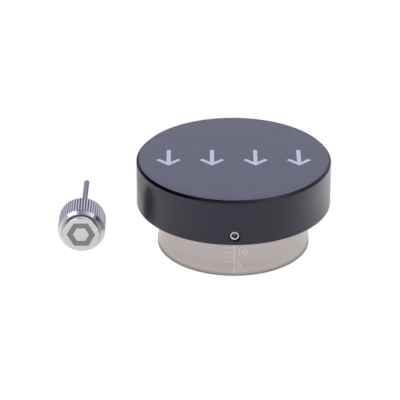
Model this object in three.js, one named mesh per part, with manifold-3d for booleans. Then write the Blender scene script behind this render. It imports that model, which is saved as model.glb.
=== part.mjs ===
// A palm tamper of adjustable depth, with the small key that works its lock screw.
// A round aluminium cap is pushed down by the palm. Its boss screws into a stainless base, so turning the
// cap one way or the other sets how far the base stands out below the cap's rim. A soft pad, driven by a
// socket set screw in the cap's wall, locks the setting. The key lies beside the tamper on its knurled side.
//
// Millimetres, +Z up. The origin is the centre of the base's flat tamping face, which stands on Z = 0.
// The lock screw faces -Y.

import * as THREE from "three";
import { mergeVertices } from "three/addons/utils/BufferGeometryUtils.js";
import Module from "manifold-3d";

// ---- Driving dimensions ----

const tampDepth = 17.3; // how far the base stands out below the cap's rim, as set
const turnsDown = 2; // turns of the cap from this setting down to the lowest one

const base = {
  faceRadius: 29.25, // the lip that sweeps the basket
  lipHeight: 3.2,
  lipChamfer: 0.45,
  relief: 0.55, // from the lip's radius in to the neck's, which slides in the cap
  flareHeight: 2.4, // over which the lip runs out into the neck
  height: 28,
  topChamfer: 0.4,
};

const cap = {
  wall: 8.45,
  crown: 3.3,
  topChamfer: 0.9,
  rimChamfer: 0.4,
};

const thread = {
  majorRadius: 15,
  pitch: 2,
  depth: 0.9,
  crestWidth: 0.3,
  flankAngle: Math.PI / 6,
};

const seal = {
  cordRadius: 0.75,
  land: 0.85, // of the base above the ring's groove
};

const lock = {
  screwRadius: 2,
  screwChamfer: 0.4,
  socketDepth: 2.5,
  cupRadius: 1.2,
  cupDepth: 0.5,
  recess: 0.7, // from the cap's side in to the screw's outer end
  aboveRim: 3.8,
  mouthChamfer: 0.35,
  padSmaller: 0.4, // than the screw all round, so that it passes through the screw's thread
  padThickness: 1.55,
  padChamfer: 0.2,
};

const key = {
  acrossFlats: 2, // of the blade, and so of the screw's socket
  reach: 31.3, // of the blade out of the knob
  seatDepth: 8, // of the blade inside the knob
  tipChamfer: 0.25,
  faceRadius: 7.1,
  faceRise: 2.2, // of the round face above the bevel
  faceChamfer: 0.25,
  grooveWidth: 0.45, // of the groove cut round the foot of the face
  grooveDepth: 0.5,
  bevel: 1.45, // from the groove out to the grip, both ways
  gripLength: 10.45, // of the knurled part
  rearChamfer: 0.5,
  knurls: 52,
  knurlDepth: 0.3,
  hexTurn: 8.5, // degrees that the blade is turned about its axis from corner up
  besideCap: 12.25, // clear space between the cap and the knob
  faceY: -12.3, // where the knob's face lies
  aslant: -0.6, // degrees that the key lies turned on the table
};

// ---- Clearances between pieces ----

const gap = {
  neck: 0.1, // the base's neck in the cap's bore, all round
  crown: 0.5, // the base's top under the crown, at the lowest setting
  bossEnd: 1.1, // the boss's end above the plane of the cap's rim
  bossFloor: 1.4, // the boss's end above the hole's floor, at the lowest setting
  threadRadial: 0.25,
  threadAxial: 0.15,
  seal: 0.05, // the ring in the cap's bore
  groove: 0.2, // the ring in its groove, on the other three sides
  lockHole: 0.1, // the lock screw in its hole, all round
  padToScrew: 0.1,
  padToBase: 0.1,
  hex: 0.1, // across the flats of a socket and of the knob's seat
};

// ---- Sizes that follow ----

const neckRadius = base.faceRadius - base.relief;
const boreRadius = neckRadius + gap.neck;
const capRadius = boreRadius + cap.wall;
const lowestDrop = turnsDown * thread.pitch;
const cavityDepth = base.height + gap.crown - (tampDepth - lowestDrop);
const capHeight = cavityDepth + cap.crown;
const coreRadius = thread.majorRadius - thread.depth;
const holeFloor = tampDepth - lowestDrop + gap.bossEnd - gap.bossFloor;
const grooveHalf = seal.cordRadius + gap.groove;
const grooveZ = base.height - seal.land - grooveHalf;
const ringRadius = boreRadius - gap.seal - seal.cordRadius;
const padRadius = lock.screwRadius - lock.padSmaller;
const screwLength = cap.wall + gap.neck - lock.recess - lock.padThickness - gap.padToScrew - gap.padToBase;
const bladeRadius = key.acrossFlats / Math.sqrt(3);
const hexRadius = (key.acrossFlats + gap.hex) / Math.sqrt(3);
const hexTurn = THREE.MathUtils.degToRad(key.hexTurn);
const knobRadius = key.faceRadius + key.grooveWidth + key.bevel;
const knobLength = key.faceRise + key.bevel + key.gripLength;

const wide = 72; // sides of the large turned surfaces
const middling = 36; // sides of the boss and its hole, and steps in one turn of their threads
const small = 24; // sides of the small turned surfaces
const beyond = 1; // how far a cut runs out past the surface it opens through
const quarterTurn = Math.PI / 2;

// ---- Shape tools ----

const wasm = await Module();
wasm.setup();

// A closed geometry as a solid that can be joined and cut.
function solid(geometry) {
  const bare = geometry.clone();
  bare.deleteAttribute("normal");
  bare.deleteAttribute("uv");
  const merged = mergeVertices(bare, 1e-4);
  return new wasm.Manifold(
    new wasm.Mesh({
      numProp: 3,
      vertProperties: merged.attributes.position.array,
      triVerts: new Uint32Array(merged.index.array),
    }),
  );
}

function geometryOf(body) {
  const mesh = body.getMesh();
  const shared = new THREE.BufferGeometry();
  shared.setAttribute("position", new THREE.BufferAttribute(mesh.vertProperties, 3));
  shared.setIndex(new THREE.BufferAttribute(mesh.triVerts, 1));
  const faceted = shared.toNonIndexed();
  faceted.computeVertexNormals();
  return faceted;
}

// A solid of revolution about Y. The outline is [radius, height] points, from the axis at the bottom
// round the outside to the axis at the top.
function turned(outline, sides) {
  return new THREE.LatheGeometry(
    outline.map(([radius, height]) => new THREE.Vector2(radius, height)),
    sides,
  );
}

// The same, stood up along Z.
function turnedUp(outline, sides) {
  return turned(outline, sides).rotateX(quarterTurn);
}

// A short hexagonal prism along Y, from one height to another.
function hexagon(radius, from, to) {
  return new THREE.CylinderGeometry(radius, radius, to - from, 6).translate(0, (from + to) / 2, 0);
}

// The helical ridge of a thread about Z, as one closed solid: a trapezoid carried along a helix. The helix
// passes +X at datum and at whole pitches from it, and runs from fromZ to toZ. The two widenings make it
// the cutter of the nut's thread.
function threadRidge(datum, fromZ, toZ, widenRadial, widenAxial) {
  const root = coreRadius - thread.depth / 2;
  const crest = thread.majorRadius + widenRadial;
  const crestHalf = thread.crestWidth / 2 + widenAxial;
  const rootHalf = crestHalf + (thread.majorRadius - root) * Math.tan(thread.flankAngle);
  const section = [
    [root, -rootHalf],
    [crest, -crestHalf],
    [crest, crestHalf],
    [root, rootHalf],
  ];
  const firstStep = Math.ceil(((fromZ - datum) / thread.pitch) * middling);
  const lastStep = Math.floor(((toZ - datum) / thread.pitch) * middling);
  const positions = [];
  for (let step = firstStep; step <= lastStep; step++) {
    const angle = (step / middling) * 2 * Math.PI;
    const z = datum + (step / middling) * thread.pitch;
    for (const [radius, offset] of section) {
      positions.push(radius * Math.cos(angle), radius * Math.sin(angle), z + offset);
    }
  }
  const corners = section.length;
  const index = [0, 1, 2, 0, 2, 3];
  for (let step = 0; step < lastStep - firstStep; step++) {
    for (let corner = 0; corner < corners; corner++) {
      const a = step * corners + corner;
      const b = step * corners + ((corner + 1) % corners);
      index.push(a, b + corners, b, a, a + corners, b + corners);
    }
  }
  const end = (lastStep - firstStep) * corners;
  index.push(end, end + 2, end + 1, end, end + 3, end + 2);
  const geometry = new THREE.BufferGeometry();
  geometry.setAttribute("position", new THREE.Float32BufferAttribute(positions, 3));
  geometry.setIndex(index);
  return geometry;
}

// ---- Tamper ----

// The base: a stainless piston with a flat face, a lip that fits the basket, a relieved neck, a groove
// for the sealing ring and a tapped hole for the cap's boss.
function tampingBase() {
  const grooveRadius = ringRadius - grooveHalf;
  const outline = [
    [0, 0],
    [base.faceRadius - base.lipChamfer, 0],
    [base.faceRadius, base.lipChamfer],
    [base.faceRadius, base.lipHeight],
  ];
  const flareSteps = 4;
  for (let i = 1; i <= flareSteps; i++) {
    const share = i / flareSteps;
    const radius = neckRadius + base.relief * (1 - share) ** 2;
    outline.push([radius, base.lipHeight + base.flareHeight * share]);
  }
  outline.push(
    [neckRadius, grooveZ - grooveHalf],
    [grooveRadius, grooveZ - grooveHalf],
    [grooveRadius, grooveZ + grooveHalf],
    [neckRadius, grooveZ + grooveHalf],
    [neckRadius, base.height - base.topChamfer],
    [neckRadius - base.topChamfer, base.height],
    [0, base.height],
  );
  const holeRadius = coreRadius + gap.threadRadial;
  const mouthRadius = thread.majorRadius + gap.threadRadial + base.topChamfer;
  const hole = turnedUp(
    [
      [0, holeFloor],
      [holeRadius, holeFloor],
      [holeRadius, base.height - (mouthRadius - holeRadius)],
      [mouthRadius, base.height],
      [mouthRadius, base.height + beyond],
      [0, base.height + beyond],
    ],
    middling,
  );
  const threadFrom = holeFloor + thread.pitch / 2;
  const threadTo = base.height + thread.pitch;
  const ridge = threadRidge(0, threadFrom, threadTo, gap.threadRadial, gap.threadAxial);
  return geometryOf(solid(turnedUp(outline, wide)).subtract(solid(hole)).subtract(solid(ridge)));
}

// The ring that keeps coffee out of the thread and takes up the slack between base and cap.
function sealRing() {
  const cordSides = 8;
  return new THREE.TorusGeometry(ringRadius, seal.cordRadius, cordSides, wide);
}

// The cap, from its rim at Z = 0 of its own frame: a crown, a wall that guides the base, and a threaded
// boss. The lock screw's hole goes through the wall on the -Y side.
function palmCap() {
  const shell = turnedUp(
    [
      [0, cavityDepth],
      [boreRadius, cavityDepth],
      [boreRadius, cap.rimChamfer],
      [boreRadius + cap.rimChamfer, 0],
      [capRadius - cap.rimChamfer, 0],
      [capRadius, cap.rimChamfer],
      [capRadius, capHeight - cap.topChamfer],
      [capRadius - cap.topChamfer, capHeight],
      [0, capHeight],
    ],
    wide,
  );
  const bossChamfer = thread.depth / 2;
  const bossRoot = cavityDepth + cap.crown / 2;
  const boss = turnedUp(
    [
      [0, gap.bossEnd],
      [coreRadius - bossChamfer, gap.bossEnd],
      [coreRadius, gap.bossEnd + bossChamfer],
      [coreRadius, bossRoot],
      [0, bossRoot],
    ],
    middling,
  );
  const runOut = thread.pitch / 2;
  const ridge = threadRidge(-tampDepth, gap.bossEnd + runOut, cavityDepth - runOut, 0, 0);
  return geometryOf(solid(shell).add(solid(boss)).add(solid(ridge)).subtract(solid(lockHole())));
}

// The cutter of the lock screw's hole, in the cap's frame, with a countersunk mouth.
function lockHole() {
  const radius = lock.screwRadius + gap.lockHole;
  const mouthAt = Math.sqrt(capRadius ** 2 - radius ** 2) - lock.mouthChamfer;
  const end = capRadius + beyond;
  const outline = [
    [0, boreRadius - beyond],
    [radius, boreRadius - beyond],
    [radius, mouthAt],
    [radius + end - mouthAt, end],
    [0, end],
  ];
  return turned(outline, small).rotateX(Math.PI).translate(0, 0, lock.aboveRim);
}

// A socket set screw with a cup point. Its axis is Y, and its outer end lies at Y = 0, facing -Y.
function lockScrew() {
  const shank = turned(
    [
      [0, 0],
      [lock.screwRadius - lock.screwChamfer, 0],
      [lock.screwRadius, lock.screwChamfer],
      [lock.screwRadius, screwLength - lock.screwChamfer],
      [lock.screwRadius - lock.screwChamfer, screwLength],
      [lock.cupRadius, screwLength],
      [0, screwLength - lock.cupDepth],
    ],
    small,
  );
  return geometryOf(solid(shank).subtract(solid(hexagon(hexRadius, -beyond, lock.socketDepth))));
}

// The soft pad between the screw's point and the base. Its axis is Y, and its outer end lies at Y = 0.
function lockPad() {
  return turned(
    [
      [0, 0],
      [padRadius - lock.padChamfer, 0],
      [padRadius, lock.padChamfer],
      [padRadius, lock.padThickness - lock.padChamfer],
      [padRadius - lock.padChamfer, lock.padThickness],
      [0, lock.padThickness],
    ],
    small,
  );
}

// ---- Key ----

// The outline of a straight knurl: a star with one flank up and one flank down to each tooth.
function knurlOutline() {
  const outline = new THREE.Shape();
  for (let i = 0; i < key.knurls * 2; i++) {
    const angle = (i / key.knurls) * Math.PI;
    const radius = i % 2 ? knobRadius - key.knurlDepth : knobRadius;
    const [x, y] = [radius * Math.cos(angle), radius * Math.sin(angle)];
    if (i === 0) {
      outline.moveTo(x, y);
    } else {
      outline.lineTo(x, y);
    }
  }
  return outline;
}

// The knob, along Y with its round face at Y = 0 looking along -Y. A bevel leads from a groove at the foot
// of the face to the knurled grip, and a hexagonal hole in the rear takes the blade.
function keyKnob() {
  const bar = new THREE.ExtrudeGeometry(knurlOutline(), {
    depth: knobLength + 2 * beyond,
    bevelEnabled: false,
  });
  bar.translate(0, 0, -beyond - knobLength).rotateX(quarterTurn);
  const envelope = turned(
    [
      [0, 0],
      [key.faceRadius - key.faceChamfer, 0],
      [key.faceRadius, key.faceChamfer],
      [key.faceRadius, key.faceRise + key.grooveDepth],
      [key.faceRadius + key.grooveWidth, key.faceRise + key.grooveDepth],
      [key.faceRadius + key.grooveWidth, key.faceRise],
      [knobRadius + beyond, key.faceRise + key.bevel + beyond],
      [knobRadius + beyond, knobLength - key.rearChamfer - beyond],
      [knobRadius - key.rearChamfer, knobLength],
      [0, knobLength],
    ],
    key.knurls,
  );
  const seat = hexagon(hexRadius, knobLength - key.seatDepth, knobLength + beyond).rotateY(hexTurn);
  return geometryOf(solid(bar).intersect(solid(envelope)).subtract(solid(seat)));
}

// The hexagonal blade, along Y from its end inside the knob at Y = 0 to its tip.
function keyBlade() {
  const length = key.seatDepth - gap.hex + key.reach;
  return turned(
    [
      [0, 0],
      [bladeRadius, 0],
      [bladeRadius, length - key.tipChamfer],
      [bladeRadius - key.tipChamfer, length],
      [0, length],
    ],
    6,
  ).rotateY(hexTurn);
}

// ---- Materials ----

function finish(color, roughness, metalness) {
  return new THREE.MeshStandardMaterial({ color, roughness, metalness });
}

const blackAnodised = finish(0x2c2b33, 0.45, 0.6);
const turnedSteel = finish(0xb9aeac, 0.3, 1);
const brightSteel = finish(0xc9c7cc, 0.25, 1);
const darkSteel = finish(0x6f6d78, 0.35, 1);
const blackRubber = finish(0x18181a, 0.8, 0);
const brass = finish(0xc29a4b, 0.4, 1);

// ---- Assembly ----

function piece(name, geometry, material, x = 0, y = 0, z = 0) {
  const mesh = new THREE.Mesh(geometry, material);
  mesh.name = name;
  mesh.position.set(x, y, z);
  return mesh;
}

const screwY = lock.recess - capRadius;
const padY = screwY + screwLength + gap.padToScrew;
const capGroup = new THREE.Group();
capGroup.position.z = tampDepth;
capGroup.add(piece("palm_cap", palmCap(), blackAnodised));
capGroup.add(piece("lock_screw", lockScrew(), brightSteel, 0, screwY, lock.aboveRim));
capGroup.add(piece("lock_pad", lockPad(), brass, 0, padY, lock.aboveRim));

const seatFloor = knobLength - key.seatDepth + gap.hex;
const keyGroup = new THREE.Group();
keyGroup.position.set(-capRadius - key.besideCap - knobRadius, key.faceY, knobRadius);
keyGroup.rotation.z = THREE.MathUtils.degToRad(key.aslant);
keyGroup.add(piece("key_knob", keyKnob(), brightSteel));
keyGroup.add(piece("key_blade", keyBlade(), darkSteel, 0, seatFloor, 0));

const tamper = new THREE.Group();
tamper.add(piece("tamping_base", tampingBase(), turnedSteel));
tamper.add(piece("seal_ring", sealRing(), blackRubber, 0, 0, grooveZ));
tamper.add(capGroup);
tamper.add(keyGroup);

export default tamper;
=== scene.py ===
import math

import bmesh
import bpy
import numpy as np
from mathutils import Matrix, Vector


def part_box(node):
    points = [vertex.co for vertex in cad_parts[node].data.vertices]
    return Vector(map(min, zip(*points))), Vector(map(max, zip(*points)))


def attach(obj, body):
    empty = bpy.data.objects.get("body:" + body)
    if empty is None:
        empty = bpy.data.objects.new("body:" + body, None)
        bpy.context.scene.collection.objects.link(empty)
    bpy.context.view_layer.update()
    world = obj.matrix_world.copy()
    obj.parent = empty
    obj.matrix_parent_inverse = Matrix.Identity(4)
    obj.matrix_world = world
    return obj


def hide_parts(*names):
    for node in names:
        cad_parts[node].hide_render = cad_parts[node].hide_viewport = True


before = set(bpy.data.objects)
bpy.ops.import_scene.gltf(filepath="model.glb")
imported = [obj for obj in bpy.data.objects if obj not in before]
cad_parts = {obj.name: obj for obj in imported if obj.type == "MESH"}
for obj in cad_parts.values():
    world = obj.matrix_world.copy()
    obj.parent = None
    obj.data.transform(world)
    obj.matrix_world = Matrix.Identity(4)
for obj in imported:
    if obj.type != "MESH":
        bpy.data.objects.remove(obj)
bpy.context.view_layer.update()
mm = 0.001


# Places a turned piece: point = centre + height * axis + radius * (cos(turn) * across + sin(turn) * up).
def placeAlong(axis, across, up, centre=(0, 0, 0)):
    return {"axis": np.array(axis, float), "across": np.array(across, float),
            "up": np.array(up, float), "centre": np.array(centre, float)}


# The middle of a node's box, as x, y, z: (low + high) / 2.
def middleOf(node):
    low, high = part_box(node)
    return (np.array(low) + np.array(high)) / 2


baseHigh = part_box("tamping_base")[1]
capLow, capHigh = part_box("palm_cap")
sealLow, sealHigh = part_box("seal_ring")
screwLow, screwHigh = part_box("lock_screw")
padLow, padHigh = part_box("lock_pad")
knobLow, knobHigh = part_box("key_knob")

standing = placeAlong((0, 0, 1), (1, 0, 0), (0, 1, 0))
screwAxis = placeAlong((0, -1, 0), (1, 0, 0), (0, 0, 1), middleOf("lock_screw") * (1, 0, 1))

keyPlace = {
    "aslant": math.radians(-0.6),  # how far the key lies turned on the table
    "bladeMiddle": 25.8 * mm,  # from the knob's face back to the middle of the blade
}


# The key's own frame: its centre is the middle of the knob's face, and heights run forwards out of it.
def keyFrame():
    turn = keyPlace["aslant"]
    forward = np.array([math.sin(turn), -math.cos(turn), 0])
    face = middleOf("key_blade") + forward * keyPlace["bladeMiddle"]
    return placeAlong(forward, (math.cos(turn), math.sin(turn), 0), (0, 0, 1), face)


keyAxis = keyFrame()


# A grid of points, from rows of radii and heights carried round an axis by the turns:
# centre + height * axis + radius * (cos(turn) * across + sin(turn) * up).
def carryRound(place, radii, heights, turns):
    turns = np.atleast_1d(turns)
    shape = np.broadcast_shapes(np.shape(radii), np.shape(heights), (1, turns.size))
    radii = np.broadcast_to(radii, shape)[..., None]
    heights = np.broadcast_to(heights, shape)[..., None]
    outward = np.cos(turns)[:, None] * place["across"] + np.sin(turns)[:, None] * place["up"]
    return place["centre"] + heights * place["axis"] + radii * outward[None]


# Even turns once round, with the first repeated at the end.
def fullTurn(count, start=0.0):
    return start + np.linspace(0, 2 * math.pi, count + 1)


# Rounds the inner corners of a line of points: each becomes an arc of the given radius, tangent to both
# sides, at centre + radius * (sin((1-k)w) * from + sin(kw) * to) / sin(w) for k from 0 to 1.
def roundCorners(points, radius, steps=3):
    points = np.array(points, float)
    before, corner, after = points[:-2], points[1:-1], points[2:]
    toBefore, toAfter = before - corner, after - corner
    lengthBefore = np.linalg.norm(toBefore, axis=1, keepdims=True)
    lengthAfter = np.linalg.norm(toAfter, axis=1, keepdims=True)
    toBefore, toAfter = toBefore / lengthBefore, toAfter / lengthAfter
    half = np.arccos(np.clip((toBefore * toAfter).sum(1, keepdims=True), -1, 1)) / 2
    mostOfSide = 0.45  # share of the shorter side that one arc may take up
    room = mostOfSide * np.minimum(lengthBefore, lengthAfter)
    reach = np.minimum(np.broadcast_to(np.reshape(radius, (-1, 1)), half.shape) / np.tan(half), room)
    radius = reach * np.tan(half)
    bisector = toBefore + toAfter
    bisector /= np.linalg.norm(bisector, axis=1, keepdims=True)
    centre = corner + bisector * radius / np.sin(half)
    start = (corner + toBefore * reach - centre) / radius
    end = (corner + toAfter * reach - centre) / radius
    sweep = (math.pi - 2 * half)[:, None]
    share = np.linspace(0, 1, steps + 1)[None, :, None]
    arcs = np.sin((1 - share) * sweep) * start[:, None] + np.sin(share * sweep) * end[:, None]
    arcs = centre[:, None] + radius[:, None] * (arcs / np.sin(sweep))
    return np.concatenate([points[:1], arcs.reshape(-1, 2), points[-1:]])


# Splits every stretch of a profile that is longer than a step, evenly: point + k * (next point - point).
def fillIn(profile, step):
    lengths = np.linalg.norm(np.diff(profile, axis=0), axis=1)
    counts = np.maximum(1, np.ceil(lengths / step)).astype(int)
    which = np.repeat(np.arange(len(counts)), counts)
    share = (np.arange(which.size) - np.repeat(np.cumsum(counts) - counts, counts)) / counts[which]
    filled = profile[which] + share[:, None] * (profile[which + 1] - profile[which])
    return np.concatenate([filled, profile[-1:]])


# Four-cornered faces between neighbouring rows and columns of a grid of points.
def skin(grid):
    rows, columns = grid.shape[:2]
    index = np.arange(rows * columns).reshape(rows, columns)
    quads = np.stack([index[:-1, :-1], index[:-1, 1:], index[1:, 1:], index[1:, :-1]], -1)
    return grid.reshape(-1, 3), quads.reshape(-1, 4)


# The skin of a grid carried round an axis.
def roundSkin(place, radii, heights, turns):
    return skin(carryRound(place, radii, heights, turns))


# The skin of a profile of (radius, height) points turned round an axis.
def turnedSkin(place, profile, turns):
    return roundSkin(place, profile[:, :1], profile[:, 1:], turns)


# Height of a thread's ridge as a share of its depth: 1 on the crest, falling evenly down both flanks to 0.
# Phase is the distance along the axis in pitches, less the turn in whole turns.
def ridgeShare(phase, crest, foot):
    away = np.abs(phase - np.round(phase))
    return np.clip((foot - away) / (foot - crest), 0, 1)


# A rise from 0 to 1 that starts and ends level: 3 k^2 - 2 k^3.
def smoothStep(share):
    share = np.clip(share, 0, 1)
    return share * share * (3 - 2 * share)


# Distance from the middle of a hexagon to its side, at each turn: apothem / cos(turn from the middle of
# that side).
def hexagonAt(turns, apothem, firstCorner=math.pi / 2):
    sixth = math.pi / 3
    fromSide = np.mod(turns - firstCorner, sixth) - sixth / 2
    return apothem / np.cos(fromSide)


# Builds one piece from its surfaces: welds their seams and poles, turns every face outwards and keeps the
# edges sharper than the angle.
def buildPiece(name, surfaces, material, body, replaced=(), sharpAngle=32):
    corners = [points for points, faces in surfaces]
    offsets = np.cumsum([0] + [len(points) for points in corners[:-1]])
    mesh = bpy.data.meshes.new(name)
    points = np.concatenate(corners)
    quads = np.concatenate([faces + offset for (_, faces), offset in zip(surfaces, offsets)])
    mesh.vertices.add(len(points))
    mesh.vertices.foreach_set("co", points.astype(np.float32).ravel())
    mesh.loops.add(quads.size)
    mesh.loops.foreach_set("vertex_index", quads.astype(np.int32).ravel())
    mesh.polygons.add(len(quads))
    mesh.polygons.foreach_set("loop_start", np.arange(0, quads.size, 4, dtype=np.int32))
    mesh.update(calc_edges=True)
    return finishPiece(name, mesh, material, body, replaced, sharpAngle)


# Welds, orients and shades a mesh, and hangs it on its body.
def finishPiece(name, mesh, material, body, replaced=(), sharpAngle=32):
    weldDistance = 0.002 * mm
    work = bmesh.new()
    work.from_mesh(mesh)
    bmesh.ops.remove_doubles(work, verts=work.verts, dist=weldDistance)
    bmesh.ops.recalc_face_normals(work, faces=work.faces)
    openEdges = sum(not edge.is_manifold for edge in work.edges)
    work.to_mesh(mesh)
    work.free()
    mesh.shade_smooth()
    mesh.set_sharp_from_angle(angle=math.radians(sharpAngle))
    piece = bpy.data.objects.new(name, mesh)
    bpy.context.scene.collection.objects.link(piece)
    piece.data.materials.append(material)
    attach(piece, body)
    if replaced:
        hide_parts(*replaced)
    print(f"{name}: {len(mesh.polygons)} faces, {openEdges} open edges")
    return piece


# One output of a node, so that a material's sums and products can be written as plain expressions.
class Flow:
    def __init__(self, recipe, socket):
        self.recipe, self.socket = recipe, socket

    # A Math node on this flow and the others, in that order.
    def maths(self, operation, *others, clamp=False):
        values = dict(enumerate((self,) + others))
        return self.recipe.add("ShaderNodeMath", {"operation": operation, "use_clamp": clamp}, values)

    # The operators, with a number or a flow on either side.
    def __add__(self, other):
        return self.maths("ADD", other)

    def __radd__(self, other):
        return self.maths("ADD", other)

    def __sub__(self, other):
        return self.maths("SUBTRACT", other)

    def __rsub__(self, other):
        return self.recipe.flow(other).maths("SUBTRACT", self)

    def __neg__(self):
        return self.maths("MULTIPLY", -1.0)

    def __mul__(self, other):
        return self.maths("MULTIPLY", other)

    def __rmul__(self, other):
        return self.maths("MULTIPLY", other)

    def __truediv__(self, other):
        return self.maths("DIVIDE", other)

    def __rtruediv__(self, other):
        return self.recipe.flow(other).maths("DIVIDE", self)

    def __pow__(self, other):
        return self.maths("POWER", other)

    # The larger of this flow and another.
    def atLeast(self, other):
        return self.maths("MAXIMUM", other)

    # Held between 0 and 1.
    def clamped(self):
        return self.maths("ADD", 0.0, clamp=True)


# Fills a colour ramp with stops of (place, colour).
def setStops(ramp, stops):
    while len(ramp.elements) < len(stops):
        ramp.elements.new(1.0)
    for element, (place, colour) in zip(ramp.elements, sorted(stops)):
        element.position = place
        element.color = (*colour[:3], 1.0)


# A material's node tree, or the world's.
class Recipe:
    def __init__(self, tree):
        self.tree = tree
        tree.nodes.clear()

    # A node of any type: its settings first, then the values or links of its sockets. Gives back its
    # first output, or the one named.
    def add(self, kind, settings=None, values=None, output=0):
        node = self.tree.nodes.new(kind)
        for name, value in (settings or {}).items():
            if name == "stops":
                setStops(node.color_ramp, value)
            else:
                setattr(node, name, value)
        for name, value in (values or {}).items():
            if isinstance(value, Flow):
                self.tree.links.new(value.socket, node.inputs[name])
            else:
                node.inputs[name].default_value = value
        return Flow(self, node.outputs[output]) if len(node.outputs) else node

    # A plain number as a flow: number + 0.
    def flow(self, number):
        return self.add("ShaderNodeMath", {"operation": "ADD"}, {0: number, 1: 0.0})

    # A vector's x, y and z.
    def parts(self, vector):
        node = self.add("ShaderNodeSeparateXYZ", None, {0: vector}).socket.node
        return [Flow(self, socket) for socket in node.outputs]

    # Object coordinates as three flows, measured from a centre: point - centre.
    def place(self, centre=(0, 0, 0)):
        values = {0: self.add("ShaderNodeTexCoord", output="Object"), 1: tuple(centre)}
        return self.parts(self.add("ShaderNodeVectorMath", {"operation": "SUBTRACT"}, values))

    # The colour at a share from 0 to 1, run evenly from stop to stop.
    def ramp(self, share, stops):
        return self.add("ShaderNodeValToRGB", {"stops": stops}, {0: share})

    # Three flows or numbers as one vector.
    def vector(self, x, y, z):
        return self.add("ShaderNodeCombineXYZ", None, {"X": x, "Y": y, "Z": z})

    # Noise from 0 to 1 with features about as wide as the size, on a vector in metres.
    def grain(self, vector, size, detail=2.0, rough=0.5):
        values = {"Vector": vector, "Scale": 1 / size, "Detail": detail, "Roughness": rough}
        return self.add("ShaderNodeTexNoise", {"noise_dimensions": "3D"}, values)

    # One colour run into another: first * (1 - share) + second * share. Sockets 6 and 7 are the colours.
    def blendColours(self, share, first, second):
        settings = {"data_type": "RGBA", "blend_type": "MIX"}
        return self.add("ShaderNodeMix", settings, {0: share, 6: first, 7: second}, 2)

    # A normal tilted by the slope of a height, whose run from 0 to 1 stands for the depth.
    def bump(self, height, depth):
        return self.add("ShaderNodeBump", None, {"Height": height, "Distance": depth, "Strength": 1.0})

    # A vector plus another fixed one scaled by a flow.
    def addScaled(self, vector, fixed, share):
        part = self.add("ShaderNodeVectorMath", {"operation": "SCALE"}, {0: fixed, "Scale": share})
        return self.add("ShaderNodeVectorMath", {"operation": "ADD"}, {0: vector, 1: part})

    # How far a direction agrees with another fixed one: their dot product.
    def agreement(self, vector, fixed):
        values = {0: vector, 1: tuple(fixed)}
        return self.add("ShaderNodeVectorMath", {"operation": "DOT_PRODUCT"}, values, "Value")

    # The finished surface, from the shader's sockets by name.
    def surface(self, values):
        shader = self.add("ShaderNodeBsdfPrincipled", None, values)
        self.add("ShaderNodeOutputMaterial", None, {"Surface": shader})


# A material, and its tree emptied to be filled.
def newMaterial(name):
    material = bpy.data.materials.new(name)
    material.use_nodes = True
    return material, Recipe(material.node_tree)


# Distance out from a piece's axis and distance along it, as flows of object coordinates:
# along = offset . axis, and out = sqrt(offset^2 - along^2).
def roundAxis(recipe, place):
    x, y, z = recipe.place(place["centre"])
    offset = recipe.vector(x, y, z)
    along = recipe.agreement(offset, place["axis"])
    outward = (x * x + y * y + z * z - along * along).atLeast(0.0) ** 0.5
    return offset, outward, along


turnedFinish = {
    "wideLines": 12,  # width of the broad bands, in cutter lines
    "cloudShare": 0.6,  # of the cloud in the tone, the broad bands making up the rest
    "cloudRoughness": 0.06,
}


# Turned metal. Cutter lines run round the piece's own axis: the grain is drawn on (distance from the
# axis, distance along it), so it is concentric on flat ends and parallel rings on sides. What a shade
# function gives, from 0 to 1, darkens the colour as painted shade and roughens the surface.
def turnedMaterial(name, look, place, shadeOf=None):
    finish = turnedFinish
    material, recipe = newMaterial(name)
    offset, outward, along = roundAxis(recipe, place)
    across = recipe.vector(outward, 0.0, along)
    lines = recipe.grain(across, look["lineSize"], detail=4, rough=0.6)
    wide = recipe.grain(across, look["lineSize"] * finish["wideLines"], detail=2)
    cloud = recipe.grain(offset, look["cloudSize"], detail=3)
    tone = (cloud * finish["cloudShare"] + wide * (1 - finish["cloudShare"])).clamped()
    colour = recipe.blendColours(tone, look["colour"], look["paler"])
    roughness = look["roughness"] + (lines - 0.5) * look["roughnessSpread"]
    roughness = roughness + (cloud - 0.5) * finish["cloudRoughness"]
    if shadeOf:
        darker, rougher = shadeOf(outward, along)
        colour = recipe.blendColours(darker, colour, look["shade"])
        roughness = roughness + rougher
    recipe.surface({
        "Base Color": colour,
        "Metallic": 1.0,
        "Roughness": roughness,
        "Normal": recipe.bump(lines, look["lineDepth"]),
    })
    return material


etchedFinish = {
    "scanPitch": 0.12 * mm,
    "scanStretch": 40,
    "scanDepth": 0.006 * mm,
    "scanRoughness": 0.12,
    "spotSize": 0.3 * mm,
}


# A laser-etched mark: a matt surface made of fine scan lines along Y, whose tone is the mean of the lines
# and of small spots. The look is in the mark's own dictionary.
def etchedMaterial(name, look):
    finish = etchedFinish
    material, recipe = newMaterial(name)
    x, y, z = recipe.place()
    scan = recipe.grain(recipe.vector(x, y / finish["scanStretch"], z), finish["scanPitch"], detail=1)
    spots = recipe.grain(recipe.vector(x, y, z), finish["spotSize"], detail=3)
    tone = (scan * 0.5 + spots * 0.5).clamped()
    recipe.surface({
        "Base Color": recipe.blendColours(tone, look["colour"], look["paler"]),
        "Metallic": look["metallic"],
        "Roughness": look["roughness"] + (scan - 0.5) * finish["scanRoughness"],
        "Normal": recipe.bump(scan, finish["scanDepth"]),
    })
    return material


# The thread by which the cap screws up and down on the base.
depthThread = {
    "coreRadius": 14.1 * mm,
    "depth": 0.9 * mm,
    "pitch": 2 * mm,
    "crest": 0.075,  # half its width, in pitches
    "foot": 0.335,
    "nutRoom": 0.25 * mm,
    "nutCrest": 0.15,
    "nutFoot": 0.41,
    "runOut": 1.2 * mm,
}


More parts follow.
